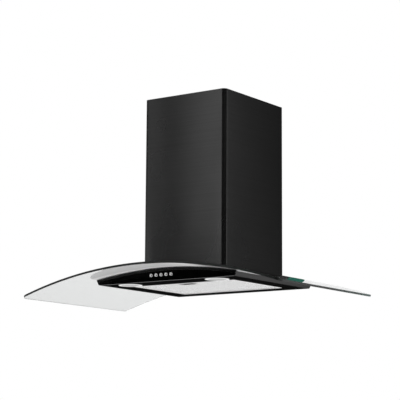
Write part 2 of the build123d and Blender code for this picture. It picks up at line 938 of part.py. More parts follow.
# ---------------------------------------------------------------- motor box
def keyhole(side):
    """Round hole for a screw head, with a slot above it that the head can't leave."""
    x = side * hook_x
    back, front = overcut, -sheet - overcut
    slot_top = hook_z + hook_slot_rise
    hole = rod_y(hook_radius, x, hook_z, back, front)
    hole += block(x - hook_slot_radius, x + hook_slot_radius, front, back, hook_z, slot_top)
    return hole + rod_y(hook_slot_radius, x, slot_top, back, front)


def collar_screw_places():
    reach = collar_flange_radius - collar_screw_edge
    angles = [radians(360 * (n + 0.5) / collar_screws) for n in range(collar_screws)]
    return [(reach * cos(a), collar_y + reach * sin(a)) for a in angles]


def bored_for_collar_screws(shape, low, high):
    for x, y in collar_screw_places():
        shape -= rod_z(collar_screw_radius + running_gap, x, y, low - overcut, high + overcut)
    return shape


def make_motor_box():
    """Sheet-steel box, open below, that hangs on the wall by two keyholes."""
    box = block(-box_half, box_half, box_front, 0, under_glass_z, box_top)
    box -= block(
        -box_half + sheet,
        box_half - sheet,
        box_front + sheet,
        -sheet,
        under_glass_z - overcut,
        box_top - sheet,
    )
    box -= under_bent_face(on_ring_radius)
    outlet_front = blower_y + scroll_front
    outlet_back = blower_y + tongue_y
    half = scroll_half_width
    box -= block(-half, half, outlet_front, outlet_back, box_top - sheet - overcut, box_top + overcut)
    for side in (-1, 1):
        box -= keyhole(side)
        box -= rod_y(wall_screw_radius, side * wall_screw_x, wall_screw_z, overcut, -sheet - overcut)
    return bored_for_collar_screws(box, box_top - sheet, box_top)


# ---------------------------------------------------------------- blower
def volute_turn(centre, radius, start, end):
    """A quarter turn of the volute's wall between two of its four axes."""
    spots = {"up": 90, "rear": 0, "down": -90, "front": 180}
    first, last = radians(spots[start]), radians(spots[end])
    if abs(first - last) > radians(180):
        last -= radians(360)
    angles = (first, (first + last) / 2, last)
    return ThreePointArc(*[(centre[0] + radius * cos(a), centre[1] + radius * sin(a)) for a in angles])


def volute(grow):
    """Outline of the scroll about the shaft, its outlet running up to the box's top."""
    half_step = scroll_step / 2
    first = scroll_start_radius + grow
    second = first + scroll_step
    third = second + scroll_step
    front = -half_step - third
    top = box_top - sheet - blower_z
    nose_centre = (half_step, scroll_start_radius - half_step + tongue_radius)
    neck = tongue_y + grow
    nose = tongue_radius - grow
    return make_face(
        Curve()
        + Line((neck, top), (neck, nose_centre[1]))
        + volute_turn(nose_centre, nose, "front", "down")
        + volute_turn((half_step, -half_step), first, "up", "rear")
        + volute_turn((-half_step, -half_step), second, "rear", "down")
        + volute_turn((-half_step, half_step), third, "down", "front")
        + Line((front, half_step), (front, top))
        + Line((front, top), (neck, top))
    )


def at_shaft(outline):
    return Pos(blower_y, blower_z) * outline


def make_scroll_band():
    outline = volute(scroll_wall) - volute(0)
    return prism_x(at_shaft(outline), -scroll_half_width, scroll_half_width)


def make_scroll_side(left, right):
    return prism_x(at_shaft(volute(scroll_wall) - Circle(inlet_radius)), left, right)


def make_inlet_ring():
    """Flared intake lip on the right side of the scroll."""
    face = scroll_side_face
    outer = inlet_radius + inlet_lip_width
    collar = inlet_radius - push_gap
    throat_edge = inlet_radius - inlet_lip_depth
    crown = face + inlet_lip_sheet
    profile = make_face(
        Polyline(
            (collar, face),
            (outer, face),
            (outer, crown),
            (inlet_radius, crown),
            (throat_edge, face),
            (throat_edge, face - inlet_lip_depth),
            (collar, face - inlet_lip_depth),
            close=True,
        )
    )
    ring = revolve(Plane.XY * profile, Axis.Y)
    return Pos(0, blower_y, blower_z) * Rot(0, 0, -90) * ring


def wheel_blade():
    """Section of one forward-curved blade: it starts square to the drum's inner edge."""
    curve = wheel_blade_curve
    rim = wheel_radius - wheel_rim_margin
    centre_reach = sqrt(wheel_blade_inner**2 + curve**2)
    opened = acos((curve**2 + centre_reach**2 - rim**2) / (2 * curve * centre_reach))
    sweep = opened - atan2(wheel_blade_inner, curve)

    def at(radius, turn):
        return (wheel_blade_inner + radius * sin(turn), curve - radius * cos(turn))

    low = curve + wheel_blade_sheet / 2
    high = curve - wheel_blade_sheet / 2
    return make_face(
        Curve()
        + ThreePointArc(at(low, 0), at(low, sweep / 2), at(low, sweep))
        + Line(at(low, sweep), at(high, sweep))
        + ThreePointArc(at(high, sweep), at(high, sweep / 2), at(high, 0))
        + Line(at(high, 0), at(low, 0))
    )


def wheel_blade_copies():
    """All the blades about the shaft, each from one end ring to the other."""
    reach = wheel_half_width - wheel_ring_sheet
    blade = prism_x(wheel_blade(), -reach, reach)
    return [Rot(n * 360 / wheel_blades, 0, 0) * blade for n in range(wheel_blades)]


def make_impeller():
    """Two end rings, and the middle disc with its hub and a slot for each blade."""
    half = wheel_half_width
    inner_face = half - wheel_ring_sheet
    disc = wheel_disc_sheet / 2
    ring = Circle(wheel_radius) - Circle(wheel_radius - wheel_ring_width)
    middle = prism_x(Circle(wheel_blade_inner + wheel_disc_lap), -disc, disc)
    middle += prism_x(Circle(hub_radius), hub_left, hub_right)
    middle -= prism_x(Circle(shaft_radius + seat_gap), hub_left - overcut, hub_right + overcut)
    middle = middle.cut(*wheel_blade_copies())
    rings = [prism_x(ring, -half, -inner_face), prism_x(ring, inner_face, half)]
    return group([Pos(0, blower_y, blower_z) * piece for piece in (*rings, middle)])


def make_impeller_blades():
    """Forward-curved blades that pass through the disc and end at the rings."""
    return group([Pos(0, blower_y, blower_z) * blade for blade in wheel_blade_copies()])


def make_motor_shaft():
    left = motor_left - shaft_tail
    return rod_x(shaft_radius, blower_y, blower_z, left, hub_right + shaft_nose)


def make_motor_stator():
    """Motor can with bevelled ends and a through bore for the shaft."""
    can = prism_x(at_shaft(Circle(motor_radius)), motor_left, motor_right)
    can = chamfer(can.edges().filter_by(GeomType.CIRCLE), motor_bevel)
    boss = Circle(shaft_radius + motor_boss_wall)
    can += prism_x(at_shaft(boss), motor_left - motor_boss_rise, motor_right + motor_boss_rise)
    bore = Circle(shaft_radius + running_gap)
    left = motor_left - motor_boss_rise - overcut
    return can - prism_x(at_shaft(bore), left, motor_right + motor_boss_rise + overcut)


def make_motor_bracket():
    """Three arms from the motor's back to the left side of the scroll."""
    reach = inlet_radius + motor_foot_radius + motor_boss_wall
    centre_hole = Circle(shaft_radius + motor_boss_wall + overcut)
    arm = Pos(reach / 2, 0) * Rectangle(reach, motor_arm_width)
    outline = Sketch() + Circle(motor_bracket_hub)
    feet = Sketch()
    for n in range(motor_bracket_arms):
        turn = Rot(0, 0, 90 + 360 * n / motor_bracket_arms)
        outline += turn * (arm + Pos(reach, 0) * Circle(motor_arm_width / 2))
        feet += turn * Pos(reach, 0) * Circle(motor_foot_radius)
    back = motor_left - motor_bracket_sheet
    bracket = prism_x(at_shaft(outline - centre_hole), back, motor_left)
    return bracket + prism_x(at_shaft(feet), motor_left, -scroll_side_face)


def make_capacitor():
    """Start capacitor that stands against the inside of the motor box."""
    x = box_half - sheet - capacitor_radius
    top = capacitor_z + capacitor_height
    can = bevelled_rod_z(capacitor_radius, x, capacitor_y, capacitor_z, top, capacitor_bevel)
    tab_x = capacitor_tab_sheet / 2
    tab_y = capacitor_tab_width / 2
    for side in (-1, 1):
        y = capacitor_y + side * capacitor_tab_y
        can += block(x - tab_x, x + tab_x, y - tab_y, y + tab_y, top, top + capacitor_tab_height)
    return can


# ---------------------------------------------------------------- duct collar and damper
def make_outlet_collar():
    flange_top = box_top + collar_flange
    top = box_top + collar_height
    bore = collar_radius - collar_wall
    collar = bevelled_rod_z(collar_radius, 0, collar_y, box_top, top, collar_bevel)
    collar += rod_z(collar_flange_radius, 0, collar_y, box_top, flange_top)
    collar -= rod_z(bore, 0, collar_y, box_top - overcut, top + overcut)
    ledge_top = damper_z - flap_sheet / 2 - slider_gap
    ledge_low = ledge_top - flap_ledge_sheet
    ledge = rod_z(bore + collar_wall / 2, 0, collar_y, ledge_low, ledge_top)
    ledge -= rod_z(bore - flap_ledge, 0, collar_y, ledge_low - overcut, ledge_top + overcut)
    reach = knuckle_radius + flap_gap
    ledge -= block(
        -collar_radius,
        collar_radius,
        collar_y - reach,
        collar_y + reach,
        ledge_low - overcut,
        ledge_top + overcut,
    )
    collar += ledge
    ends = (-collar_radius - overcut, collar_radius + overcut)
    collar -= rod_x(damper_pin_radius + running_gap, collar_y, damper_z, *ends)
    return bored_for_collar_screws(collar, box_top, flange_top)


def make_damper_pin():
    return rod_x(damper_pin_radius, collar_y, damper_z, -collar_radius, collar_radius)


def make_flap(towards, own):
    """Half-round damper plate with its knuckles on the pin; towards is -1 for the front one."""
    low = damper_z - flap_sheet / 2
    high = damper_z + flap_sheet / 2
    root = knuckle_radius + flap_gap
    flap = rod_z(flap_radius, 0, collar_y, low, high)
    keep = sorted((collar_y + towards * root, collar_y + towards * collar_radius))
    flap &= block(-collar_radius, collar_radius, *keep, low, high)
    width = 2 * knuckle_reach / knuckle_stations
    link = sorted((collar_y, collar_y + towards * (root + flap_gap)))
    for n in range(own, knuckle_stations, 2):
        x0 = -knuckle_reach + n * width + flap_gap
        x1 = x0 + width - 2 * flap_gap
        flap += block(x0, x1, *link, low, high)
        flap += rod_x(knuckle_radius, collar_y, damper_z, x0, x1)
    return flap - rod_x(damper_pin_radius + running_gap, collar_y, damper_z, -flap_radius, flap_radius)


def make_collar_screws():
    """Pan-head screws through the collar's flange into the box."""
    seat = box_top + collar_flange
    head_top = seat + collar_screw_head_height
    screws = []
    for x, y in collar_screw_places():
        head = bevelled_rod_z(collar_screw_head, x, y, seat, head_top, collar_screw_bevel)
        screws.append(head + rod_z(collar_screw_radius, x, y, seat - collar_screw_length, seat))
    return group(screws)


# ---------------------------------------------------------------- electrics on the motor box
control_front = control_box_y - control_box_length / 2
control_back = control_box_y + control_box_length / 2
control_top = control_box_z + control_box_height
control_right = box_half + control_box_depth
control_rim = control_right - control_box_wall
gland_x = (box_half + control_rim) / 2


def control_block(x0, x1, inset):
    """A slice of the control box, inside its walls by inset."""
    return block(
        x0,
        x1,
        control_front + inset,
        control_back - inset,
        control_box_z + inset,
        control_top - inset,
    )


def gland_bore(low, high):
    """The round way for the mains lead, cut past both levels."""
    return rod_z(gland_bore_radius, gland_x, control_box_y, low - overcut, high + overcut)


def make_control_box():
    wall = control_box_wall
    box = control_block(box_half, control_rim, 0)
    box -= control_block(box_half + wall, control_rim + overcut, wall)
    return box - gland_bore(control_top - wall, control_top)


def make_control_cover():
    """Flat lid with a lip that fits inside the box."""
    wall = control_box_wall
    lip_left = control_rim - control_cover_lip
    lip = control_block(lip_left, control_rim, wall + slider_gap)
    lip -= control_block(lip_left - overcut, control_rim, 2 * wall)
    return control_block(control_rim, control_right, 0) + lip


def make_cable_gland():
    """Gland on top of the control box, where the mains lead goes in."""
    hexagon = RegularPolygon(gland_across / 2, 6, major_radius=False)
    dome_low = control_top + gland_hex_height
    dome_top = dome_low + gland_dome_height
    gland = Pos(gland_x, control_box_y, control_top) * extrude(hexagon, amount=gland_hex_height)
    gland += bevelled_rod_z(
        gland_dome_radius, gland_x, control_box_y, dome_low, dome_top, gland_dome_bevel
    )
    return gland - gland_bore(control_top, dome_top)


# ---------------------------------------------------------------- chimney covers
def cover_outline(half, front, back, bend_front, bend_back):
    """A rectangle with two large front corners and two small back ones."""
    outline = Pos(0, (front + back) / 2) * Rectangle(2 * half, back - front)
    outline = fillet(outline.vertices().sort_by(Axis.Y)[:2], bend_front)
    square = [v for v in outline.vertices() if v.Y > back - bend_back / 2]
    return fillet(square, bend_back)


def cover_plan(half, front, back, bend_front, bend_back):
    """Plan of a U-shaped cover with two flanges turned in along the wall."""
    outside = cover_outline(half, front, back, bend_front, bend_back)
    inside = cover_outline(
        half - sheet, front + sheet, back - sheet, bend_front - sheet, bend_back - sheet
    )
    slot = 2 * (half - chimney_flange)
    return outside - inside - Pos(0, back) * Rectangle(slot, 2 * sheet + overcut)


def make_lower_chimney():
    plan = cover_plan(outer_half, -chimney_depth, 0, chimney_front_bend, chimney_back_bend)
    cover = extrude(Pos(0, 0, under_glass_z) * plan, amount=chimney_top - under_glass_z)
    return cover - under_bent_face(seal_low_radius)


def make_upper_chimney():
    """Inner cover, with air slots near its top that show once it is drawn up."""
    bend = chimney_front_bend - sheet - chimney_slide_gap
    plan = cover_plan(inner_half, inner_front, inner_back, bend, chimney_back_bend)
    height = inner_chimney_top - inner_chimney_bottom
    cover = extrude(Pos(0, 0, inner_chimney_bottom) * plan, amount=height)
    slot = SlotOverall(vent_length, vent_height)
    for n in range(vent_count):
        z = inner_chimney_top - vent_drop - n * vent_pitch
        ends = (-inner_half - overcut, inner_half + overcut)
        cover -= prism_x(Pos(-chimney_depth / 2, z) * slot, *ends)
    return cover


def make_cover_bracket():
    """Angle on the base ring that holds the outer cover and stops the inner one."""
    middle = -chimney_depth / 2
    front = middle - cover_bracket_length / 2
    back = middle + cover_bracket_length / 2
    inner_face = cover_inside - cover_bracket_sheet
    upright = block(inner_face, cover_inside, front, back, under_glass_z, cover_bracket_top)
    foot = block(ring_half - cover_bracket_lap, cover_inside, front, back, under_glass_z, box_top)
    foot_top = on_ring_radius + cover_bracket_sheet
    foot &= prism_y(arch_band(on_ring_radius, foot_top, cover_inside), back, front)
    hook = block(
        inner_face - cover_bracket_hook,
        inner_face,
        middle - cover_bracket_hook_length / 2,
        middle + cover_bracket_hook_length / 2,
        cover_bracket_top - cover_bracket_hook_height,
        cover_bracket_top,
    )
    return upright - under_bent_face(on_ring_radius) + foot + hook


def make_upper_wall_bracket():
    """U bracket that ties the inner cover to the wall once it is drawn up."""
    half = inner_half - sheet
    top = inner_chimney_top - wall_bracket_drop
    low = top - wall_bracket_height
    back = inner_back - sheet
    front = back - wall_bracket_arm
    thick = wall_bracket_sheet
    bracket = block(-half, half, front, back, low, top)
    corners = [e for e in bracket.edges().filter_by(Axis.Z) if e.center().Y > back - thick]
    bracket = fillet(corners, wall_bracket_bend)
    inside = half - thick
    bracket -= block(-inside, inside, front - overcut, back - thick, low - overcut, top + overcut)
    for side in (-1, 1):
        hole = (side * wall_bracket_screw_x, (low + top) / 2)
        bracket -= rod_y(wall_screw_radius, *hole, back + overcut, back - thick - overcut)
    return bracket


# ---------------------------------------------------------------- the assembly
parts["glass_canopy"] = make_glass()
parts["glass_gasket"] = make_glass_gasket()
parts["throat_gasket"] = make_throat_gasket()
parts["base_seal"] = make_base_seal()
parts["base_ring"] = make_base_ring()
parts["glass_bushes"] = make_glass_bushes()
parts["glass_bolts"] = make_glass_bolts()
parts["glass_nuts"] = make_glass_nuts()
parts["canopy_shell"] = make_canopy_shell()
parts["underside_panel"] = make_underside_panel()
parts["fascia_panel"] = make_fascia()
for number, x in enumerate(button_xs(), start=1):
    parts[f"button_{number}"] = make_button(x)
parts["switch_housing"] = make_switch_housing()
parts["switch_board"] = make_switch_board()
parts["lamp_rings"] = group([make_lamp_ring(x) for x in (-lamp_x, lamp_x)])
parts["lamp_lenses"] = group([make_lamp_lens(x) for x in (-lamp_x, lamp_x)])
parts["lamp_housings"] = group([make_lamp_housing(x) for x in (-lamp_x, lamp_x)])
parts["lamp_clips"] = make_lamp_clips()
parts["filter_frame"] = make_filter_frame()
parts["filter_net_lower"] = make_net(
    layer_low, lower_net_top, lower_net_columns, lower_net_rows, lower_net_strand
)
parts["filter_net_upper"] = make_net(
    upper_net_low, layer_high, upper_net_columns, upper_net_rows, upper_net_strand
)
parts["filter_core"] = make_filter_core()
parts["filter_pins"] = make_filter_pins()
parts["latch_housing"] = make_latch_housing()
parts["filter_latch"] = make_filter_latch()
parts["motor_box"] = make_motor_box()
parts["scroll_band"] = make_scroll_band()
parts["scroll_side_left"] = make_scroll_side(-scroll_side_face, -scroll_half_width)
parts["scroll_side_right"] = make_scroll_side(scroll_half_width, scroll_side_face)
parts["inlet_ring"] = make_inlet_ring()
parts["impeller"] = make_impeller()
parts["impeller_blades"] = make_impeller_blades()
parts["motor_shaft"] = make_motor_shaft()
parts["motor_stator"] = make_motor_stator()
parts["motor_bracket"] = make_motor_bracket()
parts["capacitor"] = make_capacitor()
parts["outlet_collar"] = make_outlet_collar()
parts["collar_screws"] = make_collar_screws()
parts["damper_pin"] = make_damper_pin()
parts["flap_front"] = make_flap(-1, 0)
parts["flap_rear"] = make_flap(1, 1)
parts["control_box"] = make_control_box()
parts["control_box_cover"] = make_control_cover()
parts["cable_gland"] = make_cable_gland()
parts["lower_chimney"] = make_lower_chimney()
parts["upper_chimney"] = make_upper_chimney()
parts["upper_wall_bracket"] = make_upper_wall_bracket()
parts["cover_bracket_right"] = make_cover_bracket()
parts["cover_bracket_left"] = mirrored(make_cover_bracket())

os.makedirs("parts", exist_ok=True)
hung = Pos(0, 0, -hook_z)
for node, shape in parts.items():
    export_step(hung * shape, f"parts/{node}.step")
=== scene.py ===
"""Looks of the curved-glass range hood: finishes, studio light and the photograph's view.

Metres, in the hood's own frame: +Z up, +Y into the wall, the origin on the wall plane midway
between the two keyholes of the motor box. Every finish is procedural and reads Object
coordinates.
"""

import json
from math import cos, radians, sin

import bmesh
import bpy
from mathutils import Matrix, Vector


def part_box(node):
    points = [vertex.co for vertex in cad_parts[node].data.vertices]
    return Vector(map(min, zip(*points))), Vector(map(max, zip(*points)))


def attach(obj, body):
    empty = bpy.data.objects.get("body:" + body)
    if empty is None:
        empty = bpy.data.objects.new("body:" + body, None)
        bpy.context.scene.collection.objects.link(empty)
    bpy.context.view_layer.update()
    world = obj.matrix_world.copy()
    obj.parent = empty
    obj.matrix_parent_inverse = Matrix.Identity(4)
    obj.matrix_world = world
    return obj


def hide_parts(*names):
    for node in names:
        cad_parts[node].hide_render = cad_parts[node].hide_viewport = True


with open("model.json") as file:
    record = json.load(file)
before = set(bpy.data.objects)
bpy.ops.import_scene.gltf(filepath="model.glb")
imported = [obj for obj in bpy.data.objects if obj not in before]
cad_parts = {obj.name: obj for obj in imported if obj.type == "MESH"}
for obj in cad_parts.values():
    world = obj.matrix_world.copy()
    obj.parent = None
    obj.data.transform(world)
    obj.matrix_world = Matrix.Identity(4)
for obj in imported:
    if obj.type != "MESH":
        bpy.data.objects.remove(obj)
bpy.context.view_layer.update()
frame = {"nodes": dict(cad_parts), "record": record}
nodes = frame["nodes"]

# ---------------------------------------------------------------- camera
PHOTO_SIDE = 400  # pixels
FOCAL_PIXELS = 1524.95
SENSOR_WIDTH = 36.0  # mm
CAMERA_PLACE = Vector((2.559853, -3.860275, -0.768261))
CAMERA_YAW = radians(35.164)
CAMERA_PITCH = radians(9.378)
CAMERA_ROLL = radians(0.365)


def make_camera():
    """The photograph's camera: below the hood, on the cook's right."""
    data = bpy.data.cameras.new("photo_camera")
    data.sensor_width = SENSOR_WIDTH
    data.lens = FOCAL_PIXELS / PHOTO_SIDE * SENSOR_WIDTH
    camera = bpy.data.objects.new("photo_camera", data)
    forward = Vector(
        (
            -sin(CAMERA_YAW) * cos(CAMERA_PITCH),
            cos(CAMERA_YAW) * cos(CAMERA_PITCH),
            sin(CAMERA_PITCH),
        )
    )
    level = forward.cross(Vector((0, 0, 1))).normalized()
    upright = level.cross(forward)
    right = cos(CAMERA_ROLL) * level + sin(CAMERA_ROLL) * upright
    up = cos(CAMERA_ROLL) * upright - sin(CAMERA_ROLL) * level
    turn = Matrix((right, up, -forward)).transposed()
    camera.matrix_world = Matrix.Translation(CAMERA_PLACE) @ turn.to_4x4()
    bpy.context.scene.collection.objects.link(camera)
    bpy.context.scene.camera = camera


# ---------------------------------------------------------------- boxes of the CAD nodes
def corners(box):
    """The low and the high corner of a box, as vectors."""
    return [Vector(corner) for corner in box]


def middle_of(node):
    """The middle of a CAD node's box."""
    low, high = corners(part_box(node))
    return (low + high) / 2


# ---------------------------------------------------------------- shader helpers
NOISE_SPAN = (0.3, 0.7)  # where nearly all the values of a noise lie


def connect(tree, value, socket):
    """Links another node's output to a socket, or sets the socket to a plain value."""
    if isinstance(value, bpy.types.NodeSocket):
        tree.links.new(value, socket)
    else:
        socket.default_value = value


def feed(tree, node, **inputs):
    """Feeds a node's inputs by name, with an underscore for each space."""
    for key, value in inputs.items():
        connect(tree, value, node.inputs[key.replace("_", " ")])


def add(tree, kind, settings=None, **inputs):
    """A new node with its settings and inputs."""
    node = tree.nodes.new(kind)
    for key, value in (settings or {}).items():
        setattr(node, key, value)
    feed(tree, node, **inputs)
    return node


def new_material(name):
    """A material with its node tree and its Principled shader."""
    made = bpy.data.materials.new(name)
    made.use_nodes = True
    return made, made.node_tree, made.node_tree.nodes["Principled BSDF"]


def place(tree, scale=(1, 1, 1)):
    """Object coordinates, multiplied by a scale on each axis."""
    coords = add(tree, "ShaderNodeTexCoord").outputs["Object"]
    return add(tree, "ShaderNodeMapping", Vector=coords, Scale=scale).outputs["Vector"]


def place_on(tree, axis):
    """One of the Object coordinates."""
    return add(tree, "ShaderNodeSeparateXYZ", Vector=place(tree)).outputs[axis]


def noise(tree, vector, **inputs):
    """A value that changes in clouds, about one half."""
    return add(tree, "ShaderNodeTexNoise", Vector=vector, **inputs).outputs["Fac"]


def remap(tree, value, low, high, from_low=0.0, from_high=1.0, clamp=True):
    """A value between two limits, carried over to two others."""
    node = add(tree, "ShaderNodeMapRange", {"clamp": clamp}, Value=value)
    feed(tree, node, From_Min=from_low, From_Max=from_high, To_Min=low, To_Max=high)
    return node.outputs["Result"]


def uneven(tree, cloud, middle, spread):
    """A value that drifts with a noise, by a spread to either side of its middle."""
    return remap(tree, cloud, middle - spread, middle + spread, *NOISE_SPAN)


def between(tree, axis, start, end):
    """Rises from zero to one between two places on an axis."""
    return remap(tree, place_on(tree, axis), 0.0, 1.0, start, end)


def turned(tree, axis, start, end, clamp=True):
    """Rises from zero to one as a face's outward direction on an axis goes from start to end."""
    facing = add(tree, "ShaderNodeNewGeometry").outputs["Normal"]
    parts = add(tree, "ShaderNodeSeparateXYZ", Vector=facing)
    return remap(tree, parts.outputs[axis], 0.0, 1.0, start, end, clamp)


def compute(tree, operation, first, second):
    """One step of arithmetic on two values."""
    node = add(tree, "ShaderNodeMath", {"operation": operation})
    connect(tree, first, node.inputs[0])
    connect(tree, second, node.inputs[1])
    return node.outputs[0]


def blend_colours(tree, factor, first, second):
    """The first colour where the factor is zero, the second where it is one."""
    node = add(tree, "ShaderNodeMix", {"data_type": "RGBA"}, Factor=factor)
    colour_a, colour_b = [socket for socket in node.inputs if socket.type == "RGBA"]
    connect(tree, first, colour_a)
    connect(tree, second, colour_b)
    return node.outputs["Result"]


def bump(tree, height, distance, strength=1.0):
    """A normal that follows a height."""
    node = add(tree, "ShaderNodeBump", Height=height, Distance=distance, Strength=strength)
    return node.outputs["Normal"]


def grey(level, warmth=0.0):
    """A linear colour near grey."""
    return (level * (1 + warmth), level, level * (1 - warmth), 1.0)


def scaled(colour, share):
    """A colour made darker or lighter, up to white."""
    return tuple(min(1.0, part * share) for part in colour[:3]) + (1.0,)


def mottled(tree, factor, colour, contrast):
    """A colour that goes from darker to lighter with a factor."""
    dark = scaled(colour, 1 - contrast)
    light = scaled(colour, 1 + contrast)
    return blend_colours(tree, factor, dark, light)


# ---------------------------------------------------------------- shared effects
SPANGLE_WARP = (0.006, 0.006, 0.006)  # how far the borders of the crystals wander


def new_group(name, vectors, values):
    """An empty node group that takes vectors and gives values, by name."""
    group = bpy.data.node_groups.new(name, "ShaderNodeTree")
    for label in vectors:
        group.interface.new_socket(label, in_out="INPUT", socket_type="NodeSocketVector")
    for label in values:
        group.interface.new_socket(label, in_out="OUTPUT", socket_type="NodeSocketFloat")
    return group, group.nodes.new("NodeGroupInput"), group.nodes.new("NodeGroupOutput")


def make_grain_group():
    """Brushed lines on stretched coordinates, with broad cloudy changes."""
    group, given, result = new_group("brushed_grain", ["Stretched", "Broad"], ["Line", "Cloud"])
    stretched = given.outputs["Stretched"]
    fine = noise(group, stretched, Scale=1.0, Detail=6.0, Roughness=0.7)
    coarse = noise(group, stretched, Scale=0.31, Detail=2.0)
    both = compute(group, "MULTIPLY", fine, coarse)
    cloud = noise(group, given.outputs["Broad"], Scale=3.0, Detail=3.0)
    line = remap(group, both, 0.0, 1.0, from_low=0.12, from_high=0.4)
    feed(group, result, Line=line, Cloud=cloud)
    return group


def make_mould_group():
    """Spark-eroded mould texture for plastics."""
    group, given, result = new_group("mould_texture", ["Place"], ["Height", "Cloud"])
    pits = noise(group, given.outputs["Place"], Scale=1800.0, Detail=2.0)
    cloud = noise(group, given.outputs["Place"], Scale=35.0, Detail=3.0)
    feed(group, result, Height=pits, Cloud=cloud)
    return group


def make_spangle_group():
    """The frosted crystals of galvanised sheet."""
    group, given, result = new_group("zinc_spangle", ["Place"], ["Shade", "Cloud"])
    spot = given.outputs["Place"]
    warp = add(group, "ShaderNodeTexNoise", Vector=spot, Scale=60.0, Detail=2.0)
    moved = add(group, "ShaderNodeVectorMath", {"operation": "MULTIPLY_ADD"})
    connect(group, warp.outputs["Color"], moved.inputs[0])
    connect(group, SPANGLE_WARP, moved.inputs[1])
    connect(group, spot, moved.inputs[2])
    crystals = add(
        group, "ShaderNodeTexVoronoi", Vector=moved.outputs[0], Scale=120.0, Randomness=1.0
    )
    shade = add(group, "ShaderNodeSeparateColor", Color=crystals.outputs["Color"])
    cloud = noise(group, spot, Scale=9.0, Detail=3.0)
    feed(group, result, Shade=shade.outputs[0], Cloud=cloud)
    return group


def make_polish_group():
    """The faint haze that polishing leaves on bright metal."""
    group, given, result = new_group("polish_haze", ["Place"], ["Haze"])
    feed(group, result, Haze=noise(group, given.outputs["Place"], Scale=240.0))
    return group


GRAIN = make_grain_group()
MOULD = make_mould_group()
SPANGLE = make_spangle_group()
POLISH = make_polish_group()


def use_group(tree, group, **inputs):
    """The outputs of a shared effect, placed in a material."""
    return add(tree, "ShaderNodeGroup", {"node_tree": group}, **inputs).outputs


# ---------------------------------------------------------------- metals
WALL_GRAIN = (3, 3, 900)  # changes of the grain per metre, on each axis
TRAY_GRAIN = (3, 900, 3)
FRAME_GRAIN = (200, 5, 5)
LATCH_GRAIN = (5, 400, 5)
SHAFT_GRAIN = (900, 4, 4)
PLATED_GRAIN = (300, 300, 300)
LINE_DEPTH = 0.000006
TO_LOW_SIDE = (-0.6, -0.8)  # outward directions on an axis, for faces on its low side
PLEAT = 0.016
PLEAT_DEPTH = 0.0004
WAVE_LENGTH = 0.31416  # of the wave texture at scale one, 2 pi / 20
BUTTON_COUNT = 5
BUTTON_DOME = 0.011  # radius to which the caps curve


def brushed(name, colour, roughness, grain, contrast=0.25, anisotropy=0.6, grazing=1.0, painted_shade=1.0):
    """Brushed metal.

    Grazing tints what it reflects at a low angle; a share below one paints shade on its front and
    lower faces, darkening their colour to that share.
    """
    made, tree, shader = new_material(name)
    effect = use_group(tree, GRAIN, Stretched=place(tree, grain), Broad=place(tree))
    sheet = mottled(tree, effect["Line"], colour, contrast)
    # Painted shade: front and lower faces darken towards the given share of the colour.
    if painted_shade < 1.0:
        in_front = turned(tree, "Y", *TO_LOW_SIDE)
        underneath = turned(tree, "Z", *TO_LOW_SIDE)
        shaded = compute(tree, "MAXIMUM", in_front, underneath)
        sheet = blend_colours(tree, shaded, sheet, scaled(colour, painted_shade))
    feed(
        tree,
        shader,
        Base_Color=sheet,
        Roughness=uneven(tree, effect["Cloud"], roughness, spread=0.05),
        Normal=bump(tree, effect["Line"], LINE_DEPTH, strength=0.3),
        Metallic=1.0,
        Anisotropic=anisotropy,
        Anisotropic_Rotation=0.25,
        Specular_Tint=(grazing, grazing, grazing, 1.0),
    )
    return made


def galvanised(name):
    """Hot-dipped sheet with its spangle."""
    made, tree, shader = new_material(name)
    effect = use_group(tree, SPANGLE, Place=place(tree))
    feed(
        tree,
        shader,
        Base_Color=blend_colours(tree, effect["Shade"], grey(0.40), grey(0.56, -0.01)),
        Roughness=remap(tree, effect["Shade"], low=0.32, high=0.5),
        Normal=bump(tree, effect["Cloud"], distance=0.0004, strength=0.2),
        Metallic=0.9,
    )
    return made


def pleated(name):
    """Bright net over a pleated foil: bands of light and shade every pleat."""
    made, tree, shader = new_material(name)
    waves = add(
        tree,
        "ShaderNodeTexWave",
        {"wave_type": "BANDS", "bands_direction": "X"},
        Vector=place(tree),
        Scale=WAVE_LENGTH / PLEAT,
        Distortion=0.4,
        Detail=1.0,
    )
    pleats = waves.outputs["Fac"]
    patches = noise(tree, place(tree), Scale=70.0, Detail=4.0)
    shade = blend_colours(tree, pleats, grey(0.84), grey(1.0))
    stains = remap(tree, patches, 0.0, 0.3, from_low=0.5, from_high=0.8)
    feed(
        tree,
        shader,
        Base_Color=blend_colours(tree, stains, shade, grey(0.82)),
        Roughness=remap(tree, patches, low=0.2, high=0.3),
        Normal=bump(tree, pleats, PLEAT_DEPTH, strength=0.25),
        Metallic=1.0,
    )
    return made


def polished(name, darkest, lightest, roughness, spread):
    """Bright chrome with faint polishing haze."""
    made, tree, shader = new_material(name)
    haze = use_group(tree, POLISH, Place=place(tree))["Haze"]
    feed(
        tree,
        shader,
        Base_Color=blend_colours(tree, haze, grey(darkest), grey(lightest)),
        Roughness=uneven(tree, haze, roughness, spread),
        Metallic=1.0,
    )
    return made


